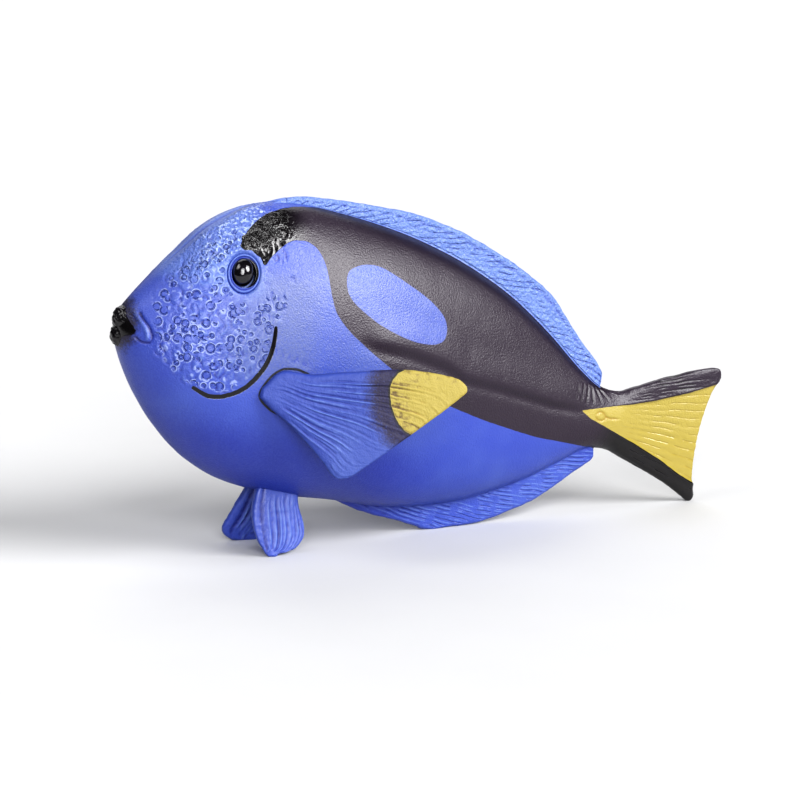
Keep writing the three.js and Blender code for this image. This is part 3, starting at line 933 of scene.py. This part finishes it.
def add_relief(mesh):
    """Pushes the sculptor's marks into the skin, and keeps their height for the paint."""
    s, h, point, yellow = (values(mesh, name) for name in ("s", "h", "point", "yellow"))
    place = places_of(mesh)
    flank = window(point, FIN_POINTS, FIN_POINTS + 4, BELLY_ROOT_POINT - 4, BELLY_ROOT_POINT)
    from_eye = eye_share(mesh)
    off_eye = smoothstep(*OFF_EYE, from_eye)
    off_smile = smoothstep(0.05, -0.3, values(mesh, "smile"))
    face = inside_distance(s, h, smooth_line(FACE, 4, closed=True))
    scales = smoothstep(-0.6, 0.6, face) * smoothstep(1.05, 1.3, from_eye) * off_smile
    crown = smoothstep(-2.0, 0.5, h - np.interp(s, *zip(*CROWN_LINE)))
    crumbs_and_glints = crown * window(s, *CRUMBS_S) * smoothstep(5, 9, point) * off_eye
    nape = smoothstep(-0.5, 0.5, values(mesh, "black")) * smoothstep(31, 27, s)
    marks = face_marks(s, h, place[:, 1] < 0, flank, off_eye * off_smile)
    marks += uneven(place * CRUMB_STRETCH, 0.11, 0.9) * crumbs_and_glints
    marks += uneven(place, 0.055, 0.8) * nape
    marks -= 0.2 * ridge(point - 3.6, 0.7) * window(s, 5, 10, 26, 29)
    marks += midline_fin_relief(s, point, place) + tail_relief(s, h, yellow, place)
    broken = 0.35 + 0.65 * smoothstep(-0.25, 0.25, lumps(place, 4.0))
    rays = np.cos(2 * math.pi * values(mesh, "rays")) * values(mesh, "rayed")
    marks -= RAY_HEIGHT * rays * broken
    shape = uneven(place, 0.12, 11) + uneven(place, 0.035, 3) + flank_crease(s, h) * flank
    shape -= EYE_SINK * smoothstep(1.14, 0.98, from_eye)
    shape -= TAIL_WEB_SINK * smoothstep(-0.3, 0.5, yellow) * smoothstep(117, 124, s)
    keep_values(mesh, "height", marks)
    keep_values(mesh, "scales", np.maximum(scales, nape))
    along_fin = (point < FIN_POINTS - 1) * (s > 30) * (s < 111)
    # The crumbs' mask also places painted glints, on the forehead and along the back fin.
    keep_values(mesh, "crumbs_and_glints", np.maximum(crumbs_and_glints, 0.7 * along_fin))
    pushed_out(mesh, shape + marks)


def kept(material, label):
    return node(material, "ShaderNodeAttribute", attribute_name=label).outputs["Fac"]


def times(material, first, second):
    return calculated(material, "MULTIPLY", first, second)


def greater(material, first, second):
    return calculated(material, "MAXIMUM", first, second)


def weakened(material, mask, strength):
    """A mask from 0 to that strength."""
    return ranged(material, mask, 0.0, 1.0, 0.0, strength)


# How fine the vinyl's grain is, in cells to the metre, and how deep, in metres.
PATCH_CELLS = 70
GRAIN_CELLS = 2600
PEBBLE_CELLS = 2900
PEBBLE_DEPTH = 0.0001
CRUMB_CELLS = 1500
CRUMB_DEPTH = 0.0007
RING_CELLS = 520
RING_FILL = 0.09
RAY_GROOVE_CELLS = 260
RAY_RIDGE_CELLS = 500
PRINT_DEPTH = 0.0003
VINYL_MATT = 0.40
BLACK_MATT = 0.4
JET_MATT = 0.2
VINYL_SHINE = 0.75


def ring_print(material):
    """Small broken rings: the masks of their lines, which the paint darkens as painted shade,
    and of their outer rims, which take a painted highlight.
    """
    inputs = {"Vector": object_coordinates(material), "Scale": RING_CELLS}
    cells = node(material, "ShaderNodeTexVoronoi", inputs)
    radius = ranged(material, cells.outputs["Color"], 0.2, 0.8, 0.22, 0.46)
    gap = calculated(material, "SUBTRACT", cells.outputs["Distance"], radius)
    unbroken = (0.5 - RING_FILL, 0.56 - RING_FILL)
    broken = ranged(material, speckle(material, 1.4 * RING_CELLS, 1), *unbroken)
    broken = times(material, broken, kept(material, "scales"))
    made = []
    for out in (0.0, 0.15):
        apart = calculated(material, "SUBTRACT", gap, out)
        apart = calculated(material, "ABSOLUTE", apart, 0.0)
        made.append(times(material, ranged(material, apart, 0.03, 0.11, 1.0, 0.0), broken))
    return made


def ray_print(material, cells, *edges):
    """Broken strokes along the rays that the mesh counts, between those shares of their gaps."""
    gap = calculated(material, "PINGPONG", kept(material, "rays"), 0.5)
    broken = ranged(material, speckle(material, cells, 1), 0.43, 0.52)
    line = times(material, ranged(material, gap, *edges), broken)
    return times(material, line, kept(material, "rayed"))


def painted_vinyl(name, marks, base=BLUE, light=SKY_BLUE, deep=DEEP_BLUE, matt=VINYL_MATT, lines=(),
                  body=False, pebble=PEBBLE_DEPTH):
    """Coloured vinyl under coats of paint, darker in its grooves with a wash that also paints their
    shade, and lighter on its raised places as a painted highlight. Each mark is a mask kept on the
    mesh, its colour, its edge (so many millimetres soft, or None for an airbrushed one) and the
    colour that it has in grooves; some marks are coats of painted sheen or shade. Each line is a
    distance kept on the mesh, a colour and a half width. Jet paint is glossier. The body has the
    fine rings, crumbs and rays of its skin too, with painted shade in the rings' lines and the
    rays' grooves, and painted highlights on the rims, the ridges and the crumbs."""
    material = new_material(name)
    height = kept(material, "height")
    groove_wash_and_shade = ranged(material, height, -0.03, -0.2, 0.0, 0.9)
    patchy = ranged(material, speckle(material, PATCH_CELLS), 0.35, 0.65, 0.0, 0.16)
    colour = mixed(material, patchy, base, light)
    # Raised places are painted lighter: a painted highlight.
    colour = mixed(material, ranged(material, height, 0.03, 0.16, 0.0, 0.5), colour, light)
    if body:
        rings, rim_highlights = ring_print(material)
        grooves = ray_print(material, RAY_GROOVE_CELLS, 0.03, 0.13, 1.0, 0.0)
        ridge_highlights = ray_print(material, RAY_RIDGE_CELLS, 0.32, 0.46)
        crumbs_and_glints = times(material, speckle(material, CRUMB_CELLS), kept(material, "crumbs_and_glints"))
        line_wash_and_shade = greater(material, rings, grooves)
        # Painted glints on the crumbs, and painted highlights on the rays' ridges and the rings' rims.
        colour = mixed(material, ranged(material, crumbs_and_glints, 0.52, 0.64, 0.0, 0.85), colour, GLINT_WHITE)
        colour = mixed(material, weakened(material, ridge_highlights, 0.6), colour, light)
        colour = mixed(material, weakened(material, rim_highlights, 0.36), colour, GLINT_WHITE)
        # The rings' lines and the rays' grooves are painted darker: a wash that also paints their
        # shade.
        colour = mixed(material, weakened(material, line_wash_and_shade, 0.22), colour, deep)
    # All grooves are painted darker: a wash that also paints their shade.
    colour = mixed(material, groove_wash_and_shade, colour, deep)
    grain = ranged(material, speckle(material, GRAIN_CELLS, 1), 0.3, 0.7, -0.16, 0.16)
    jet = black = 0.0
    for label, paint, edge, groove_paint in marks:
        if edge is None:
            wet = calculated(material, "ADD", kept(material, label), grain)
            factor = ranged(material, wet, 0.17, 0.95)
        else:
            factor = ranged(material, kept(material, label), -edge, edge)
        if paint is JET:
            jet = greater(material, factor, jet)
        # Where it is shiny the black is painted jet: painted shade.
        if paint is BLACK:
            black = factor
            shiny_and_shaded = kept(material, "shiny_and_shaded")
            jet = times(material, factor, shiny_and_shaded)
            paint = mixed(material, shiny_and_shaded, BLACK, JET)
        # In grooves each paint takes a darker colour: a wash that also paints their shade.
        if groove_paint:
            grooved = weakened(material, line_wash_and_shade, 0.6) if body else groove_wash_and_shade
            grooved = greater(material, groove_wash_and_shade, grooved)
            paint = mixed(material, grooved, paint, groove_paint)
        colour = mixed(material, factor, colour, paint)
    for label, paint, half_width in lines:
        apart = calculated(material, "ABSOLUTE", kept(material, label), 0.0)
        factor = ranged(material, apart, half_width * 0.6, half_width * 1.4, 1.0, 0.0)
        colour = mixed(material, factor, colour, paint)
    pebbles = speckle(material, PEBBLE_CELLS)
    smooth = ranged(material, jet, 0.0, 1.0, 1.0, 0.05)
    fine = bumped(material, times(material, pebbles, smooth), pebble)
    if body:
        pressed = greater(material, rings, weakened(material, grooves, 0.4))
        fine = bumped(material, pressed, -PRINT_DEPTH, fine)
        fine = bumped(material, crumbs_and_glints, CRUMB_DEPTH, fine)
    roughness = ranged(material, pebbles, 0.3, 0.7, matt - 0.05, matt + 0.07)
    roughness = ranged(material, black, 0.0, 1.0, roughness, BLACK_MATT)
    roughness = ranged(material, jet, 0.0, 1.0, roughness, JET_MATT)
    inputs = {"Base Color": colour, "Roughness": roughness, "Normal": fine,
              "Specular IOR Level": VINYL_SHINE}
    return surfaced(material, node(material, "ShaderNodeBsdfPrincipled", inputs))


# Over the blue: painted shade on the belly, painted sheen over the cheek, flank and forehead, the
# paints, and a line of painted contact shade round the breast fins' roots.
body_paint = painted_vinyl("painted_vinyl", (
    ("belly", SHADED_BELLY_BLUE, None, DEEP_BLUE),
    ("painted_sheen", SHEEN_BLUE, None, BLUE),
    ("sky", SKY_BLUE, None, BLUE),
    ("snout", NAVY_BLACK, None, JET),
    ("black", BLACK, 0.05, JET),
    ("mouth", JET, 0.1, None),
    ("smile", JET, 0.05, None),
    ("yellow", YELLOW, 0.05, OCHRE),
), lines=(("fin_root_shade", JET, 0.24),), body=True)
body_skin = new_piece("body_skin", wrapped_grid("body_skin", ring_table()), body_paint, "blue_vinyl",
                      "head", "trunk", "tail_base", "tail_fin", "dorsal_fin", "anal_fin")
add_paint(body_skin.data)
add_rays(body_skin.data)
add_relief(body_skin.data)


# The lips are two short rolls of vinyl that meet in a dark parting, painted black over a
# slightly crumbly surface. They are part of the same casting, so they sink into the snout.
UPPER_LIP = ((1.25, 2.0), (2.15, 4.3, 2.75))
LOWER_LIP = ((1.45, -1.3), (2.15, 4.1, 2.3))
PARTING_H = 0.6
CORNER_THINNING = 0.4
CORNER_SWEEP = 1.7
LIP_LUMPS = ((0.22, 0.7), (0.16, 2.2))
LIP_SINK = 0.03
LIP_GREY = (0.022, 0.017, 0.028, 1)
LIP_MATT = 0.25
LIP_PEBBLE = 0.00003


def rolled_lip(shape, middle, radii):
    """Adds one lip: a ball stretched across the snout, swept back and thinned to its corners."""
    made = bmesh.ops.create_uvsphere(shape, u_segments=120, v_segments=80, radius=1)
    for vert in made["verts"]:
        x, y, z = vert.co
        thin = 1 - CORNER_THINNING * y * y
        s = middle[0] + radii[0] * x + CORNER_SWEEP * y * y
        h = middle[1] + radii[2] * z * thin + (PARTING_H - middle[1]) * 0.5 * y * y
        vert.co = Vector(standing(s, radii[1] * y, h))


lip_shape = bmesh.new()
rolled_lip(lip_shape, *UPPER_LIP)
rolled_lip(lip_shape, *LOWER_LIP)
# The lips' raised crumbs are painted a lighter grey: a painted highlight.
lip_paint = painted_vinyl("lip_paint", (), JET, LIP_GREY, JET, LIP_MATT, pebble=LIP_PEBBLE)
lips = new_piece("lips_painted", lip_shape, lip_paint, "black_paint", "lips")
lip_marks = sum(uneven(places_of(lips.data), *size) for size in LIP_LUMPS) - LIP_SINK
keep_values(lips.data, "height", lip_marks)
pushed_out(lips.data, lip_marks)


# Each eye is a glossy black dome, taller than wide, in a shallow dish with a thin raised rim.
# The dish is turned as one round profile, pressed oval, and set square to the cheek.
EYE_AT = (20.2, 10.1, 16.7)
EYE_RADII = (2.3, 2.2, 2.95)
DISH_PROFILE = ((0.0, -1.6), (0.6, -1.6), (0.755, -1.2), (0.765, -0.7), (0.78, -0.25),
                (0.80, -0.04), (0.83, 0.02), (0.86, -0.04), (0.89, -0.14), (0.915, -0.12),
                (0.94, 0.08), (0.965, 0.20), (0.995, 0.24), (1.03, 0.17), (1.06, 0.02),
                (1.09, -0.25), (1.12, -0.7))
DISH_SAG = 0.2
DISH_BLACK = ((0.35, 0.1), (2.62, 3.12))
LACQUER_CELLS = 420
LACQUER_GREY = (0.012, 0.010, 0.014, 1)


def set_on_cheek(shape, at, left):
    """Turns a shape that faces -Y to the way the eye faces, and sets it in the cheek."""
    place = Matrix.Translation((at[0], -at[1], at[2])) @ EYE_TURN.to_4x4()
    bmesh.ops.transform(shape, matrix=place, verts=shape.verts)
    for vert in shape.verts:
        y = vert.co.y if left else -vert.co.y
        vert.co = Vector(standing(vert.co.x, y, vert.co.z))
    bmesh.ops.recalc_face_normals(shape, faces=shape.faces)


def eye_dish(left):
    """The dish, turned as one profile, with how deep and how far inside the black it lies."""
    shape = bmesh.new()
    line = smooth_line(DISH_PROFILE, 3)
    verts = [shape.verts.new((p, DISH_SAG * p * p - d, 0)) for p, d in line]
    edges = [shape.edges.new(pair) for pair in zip(verts, verts[1:])]
    bmesh.ops.spin(shape, geom=verts + edges, axis=(0, 1, 0), cent=(0, 0, 0), steps=120,
                   angle=2 * math.pi, use_merge=True)
    bmesh.ops.remove_doubles(shape, verts=shape.verts, dist=0.0005)
    bmesh.ops.scale(shape, vec=(EYE_DISH_RADII[0], 1, EYE_DISH_RADII[1]), verts=shape.verts)
    black = shape.verts.layers.float.new("black")
    height = shape.verts.layers.float.new("height")
    (middle_x, middle_z), (radius_x, radius_z) = DISH_BLACK
    for vert in shape.verts:
        out = math.hypot((vert.co.x - middle_x) / radius_x, (vert.co.z - middle_z) / radius_z)
        vert[black] = (1 - out) * radius_x
        share = math.hypot(vert.co.x / EYE_DISH_RADII[0], vert.co.z / EYE_DISH_RADII[1])
        vert[height] = 0.8 * (DISH_SAG * share ** 2 - vert.co.y)
    set_on_cheek(shape, EYE_DISH_AT, left)
    return shape


def eye_dome(left):
    shape = bmesh.new()
    bmesh.ops.create_uvsphere(shape, u_segments=64, v_segments=48, radius=1)
    bmesh.ops.scale(shape, vec=EYE_RADII, verts=shape.verts)
    set_on_cheek(shape, EYE_AT, left)
    return shape


def eye_lacquer():
    """Black lacquer, a little uneven where it was brushed on."""
    material = new_material("eye_lacquer")
    swirl = speckle(material, LACQUER_CELLS)
    inputs = {
        "Base Color": mixed(material, ranged(material, swirl, 0.4, 0.7), JET, LACQUER_GREY),
        "Roughness": ranged(material, swirl, 0.3, 0.7, 0.09, 0.16),
        "Normal": bumped(material, swirl, 0.0004),
        "Coat Weight": 1.0,
        "Coat Roughness": 0.04,
    }
    return surfaced(material, node(material, "ShaderNodeBsdfPrincipled", inputs))


dish_paint = painted_vinyl("eye_dish_paint", (("black", JET, 0.05, None),))
lacquer = eye_lacquer()
for side, is_left in (("left", True), ("right", False)):
    new_piece(f"eye_dish_{side}", eye_dish(is_left), dish_paint, "blue_vinyl")
    new_piece(f"eye_dome_{side}", eye_dome(is_left), lacquer, "eye_gloss", f"eye_{side}")


# The breast fins are thick vinyl blades that stand out from the body towards their tips.
# Rays fan out over them from the root. The tip is yellow, with a black airbrushed band
# before it and brown rubbed into the first of its grooves.
BREAST_ROWS = (
    (27.4, -5.0, 27.4, -6.8, 1.6, 0),
    (30.5, -0.8, 30.5, -9.0, 1.6, 0),
    (36.2, -0.1, 34.2, -11.2, 1.35, 0),
    (43.0, 2.2, 37.8, -14.0, 1.15, 0),
    (52.4, 5.0, 40.8, -16.6, 1.0, 0.1),
    (60.5, 5.9, 43.0, -18.8, 0.9, 0.2),
    (65.6, 4.9, 45.2, -19.4, 0.75, 0.3),
)
BREAST_CORNER = 2.6
BREAST_YELLOW = ((54.5, 7.5), (53.0, 5.4), (51.3, 4.3), (50.4, 2.7), (50.1, 1.0), (50.4, -0.6),
                 (50.9, -2.4), (51.8, -4.2), (52.9, -5.7), (54.3, -6.8), (56.0, -7.3), (58.5, -7.6),
                 (72, -8), (72, 9))
BREAST_RINGS = 160
BREAST_POINTS = 130
BREAST_SEEDS = {"left": 5, "right": 6}
BREAST_MATT = 0.62
FIN_BLUE = (0.020, 0.046, 0.26, 1)
BLADE_POWER = 0.45
BLADE_END = 0.7

# The middle of each fin's root, and how far it stands out there, and further on for each
# millimetre towards the tail and down.
BREAST_ROOT = (28, -8)
BREAST_STANDS_OUT = 16
BREAST_SPREAD = 0.488
BREAST_TILT = 0.14

# The main rays: their places over the fin's chord (first, last, how many), how far each is off,
# and where along the fin they start and end, how strong each is, and their width and height.
# The fine ones between them: where they start (from, to, how many), their places, lengths,
# strengths, width and depth.
BREAST_RAYS = {"places": (0.16, 0.90, 12), "off": (-0.025, 0.025), "starts": (0.12, 0.4),
               "ends": (0.7, 1.0), "strengths": (0.4, 1.25), "section": (0.18, 0.19)}
BREAST_FINE = {"starts": (0.15, 0.9, 50), "places": (0.1, 0.97), "lengths": (0.08, 0.4),
               "strengths": (0.4, 1.0), "section": (0.15, 0.11)}


def breast_flare(s, h):
    """How far out a place on the fin's middle stands."""
    spread = BREAST_SPREAD * (s - BREAST_ROOT[0])
    return BREAST_STANDS_OUT + spread + BREAST_TILT * (BREAST_ROOT[1] - h)


def blade_table(rows, rings, half_points, corner):
    """Half rings of a flat fin from its root to its free end, with both corners rounded."""
    shapes = through(rows, np.linspace(0, len(rows) - 1, rings + 1))
    steps = running_length((shapes[:, 0:2] + shapes[:, 2:4]) / 2)
    retreat, full = rounded_end(steps[-1] - steps, corner, BLADE_END)
    chord = shapes[:, 2:4] - shapes[:, 0:2]
    chord /= np.linalg.norm(chord, axis=1)[:, None]
    shapes[:, 0:2] += chord * retreat[:, None]
    shapes[:, 2:4] -= chord * retreat[:, None]
    table = []
    for shape, share in zip(shapes, full):
        half, _ = half_section(shape[:6], BLADE_POWER, 0)
        half[:, 1] *= share
        arc = running_length(half)
        table.append(spaced(half, arc, 0, arc[-1], half_points + 1))
    return np.stack(table)


def raised_rays(along, over, chord, rays, width, height):
    """Thin raised rays at shares of a fin's chord (over, first, last), with a groove beside each."""
    made = np.zeros(len(along))
    for at, first, last, strength in rays:
        across = (over - at) * chord
        ends = window(along, first - 0.05, first + 0.1, last - 0.08, last + 0.06)
        beside_it = 0.7 * ridge(across + 2.0 * width, 1.3 * width)
        made += strength * height * ends * (ridge(across, width) - beside_it)
    return made


def fin_rays(chance, along, over, chord, main, fine):
    """A fin's main rays, each raised, and shorter finer ones pressed in between."""
    rays = [(at + chance.uniform(*main["off"]), chance.uniform(*main["starts"]),
             chance.uniform(*main["ends"]), chance.uniform(*main["strengths"]))
            for at in np.linspace(*main["places"])]
    between = [(chance.uniform(*fine["places"]), first, first + chance.uniform(*fine["lengths"]),
                chance.uniform(*fine["strengths"])) for first in chance.uniform(*fine["starts"])]
    return (raised_rays(along, over, chord, rays, *main["section"])
            - raised_rays(along, over, chord, between, *fine["section"]))


def breast_relief(mesh, seed):
    """Presses in the rays, and keeps the outlines of the paint."""
    s, h, point, ring = (values(mesh, name) for name in ("s", "h", "point", "ring"))
    place = places_of(mesh)
    along = ring / BREAST_RINGS
    over = point / BREAST_POINTS + uneven(place, 0.012, 7)
    chords = [math.dist(row[:2], row[2:4]) for row in BREAST_ROWS]
    chord = np.interp(along, np.linspace(0, 1, len(BREAST_ROWS)), chords)
    chance = np.random.default_rng(seed)
    height = fin_rays(chance, along, over, chord, BREAST_RAYS, BREAST_FINE)
    smooth_edge = smoothstep(0.12, 0.02, over) * smoothstep(0.3, 0.5, along)
    height *= (1 - smooth_edge) * smoothstep(1.0, 0.97, along)
    height = (height + uneven(place, 0.06, 1.0)) * smoothstep(0.02, 0.12, along)
    keep_values(mesh, "height", height)
    yellow = inside_distance(s, h, BREAST_YELLOW)
    wander = uneven(place, 0.07, 0.8)
    keep_values(mesh, "yellow", yellow + wander)
    keep_values(mesh, "edge", yellow + 0.15 + wander)
    reach = 4.6 + uneven(place, 1.4, 2.5) - 11 * height.clip(-0.12, 0.12)
    band = smoothstep(-reach - 1.8, -1.8, yellow) * smoothstep(1.0, 0.62, over)
    keep_values(mesh, "band", band)
    rubbed = smoothstep(5.5, 0.6, yellow) * smoothstep(0.03, -0.06, height)
    keep_values(mesh, "rubbed", 0.9 * rubbed * smoothstep(0.0, 0.2, yellow))
    pushed_out(mesh, height + uneven(place, 0.08, 6))


breast_paint = painted_vinyl("breast_fin_paint", (
    ("band", BAND_BLACK, None, JET),
    ("yellow", YELLOW, 0.06, OCHRE),
    ("rubbed", BROWN, None, None),
), FIN_BLUE, matt=BREAST_MATT, lines=(("edge", JET, 0.16),))
breast_table = blade_table(BREAST_ROWS, BREAST_RINGS, BREAST_POINTS, BREAST_CORNER)
for side, seed in BREAST_SEEDS.items():
    breast_shape = wrapped_grid("fin", breast_table, breast_flare, right=side == "right")
    breast_fin = new_piece(f"breast_fin_{side}", breast_shape, breast_paint, "blue_vinyl",
                           f"pectoral_fin_{side}")
    breast_relief(breast_fin.data, seed)


# The belly fins are two short paddles that the fish stands on, with upright rays pressed in
# and their tips trimmed flat.
BELLY_PADDLES = {
    "left": (
        (36.8, -25.0, 45.4, -25.0, 1.5, 0),
        (36.2, -29.0, 46.2, -29.0, 1.35, 0),
        (36.2, -32.2, 47.7, -32.4, 1.2, 0),
        (37.0, -35.0, 48.1, -34.8, 1.1, 0),
        (38.2, -37.3, 46.9, -37.0, 1.0, 0),
        (39.2, -38.4, 45.2, -38.3, 0.95, 0),
        (39.8, -39.1, 43.2, -39.0, 0.9, 0),
        (40.8, -40.1, 42.6, -39.9, 0.85, 0),
    ),
    "right": (
        (38.2, -25.0, 46.0, -25.0, 1.5, 0),
        (37.8, -29.0, 47.0, -29.0, 1.35, 0),
        (37.1, -32.2, 48.0, -32.6, 1.2, 0),
        (36.6, -34.8, 48.0, -35.3, 1.1, 0),
        (36.0, -37.6, 47.2, -37.6, 1.0, 0),
        (36.7, -39.3, 45.8, -39.2, 0.95, 0),
        (38.9, -40.5, 43.5, -40.0, 0.85, 0),
    ),
}
PADDLE_RINGS = 90
PADDLE_POINTS = 80
PADDLE_CORNER = 0.6
PADDLE_SEEDS = {"left": 7, "right": 8}
PADDLE_FOOT_H = -39.9
PADDLE_STANDS_OUT = 7.75
PADDLE_SPREAD = 0.28
PADDLE_RAYS = {"places": (0.27, 0.95, 13), "off": (-0.02, 0.02), "starts": (0.04, 0.12),
               "ends": (0.6, 0.85), "strengths": (0.6, 1.2), "section": (0.20, 0.16)}
PADDLE_FINE = {"starts": (0.1, 0.8, 40), "places": (0.25, 0.95), "lengths": (0.08, 0.2),
               "strengths": (0.5, 1.0), "section": (0.16, 0.12)}


def paddle_flare(s, h):
    return PADDLE_STANDS_OUT + PADDLE_SPREAD * (PADDLE_FOOT_H - h)


def paddle_relief(mesh, seed):
    """Presses in the rays, and the step along the fin's front edge."""
    point, ring = (values(mesh, name) for name in ("point", "ring"))
    place = places_of(mesh)
    along = ring / PADDLE_RINGS
    over = point / PADDLE_POINTS + uneven(place, 0.02, 4)
    chord = np.interp(along, (0, 0.5, 1), (9, 11, 4))
    chance = np.random.default_rng(seed)
    height = fin_rays(chance, along, over, chord, PADDLE_RAYS, PADDLE_FINE)
    height -= 0.16 * ridge(over - 0.19, 0.035) * smoothstep(0.95, 0.8, along)
    height += uneven(place, 0.07, 0.9)
    keep_values(mesh, "height", height)
    pushed_out(mesh, height + uneven(place, 0.06, 4))


paddle_paint = painted_vinyl("belly_fin_paint", ())
for side, rows in BELLY_PADDLES.items():
    paddle_table = blade_table(rows, PADDLE_RINGS, PADDLE_POINTS, PADDLE_CORNER)
    paddle_shape = wrapped_grid("fin", paddle_table, paddle_flare, right=side == "right")
    paddle = new_piece(f"belly_fin_{side}", paddle_shape, paddle_paint, "blue_vinyl",
                       f"pelvic_fin_{side}")
    paddle_relief(paddle.data, PADDLE_SEEDS[side])
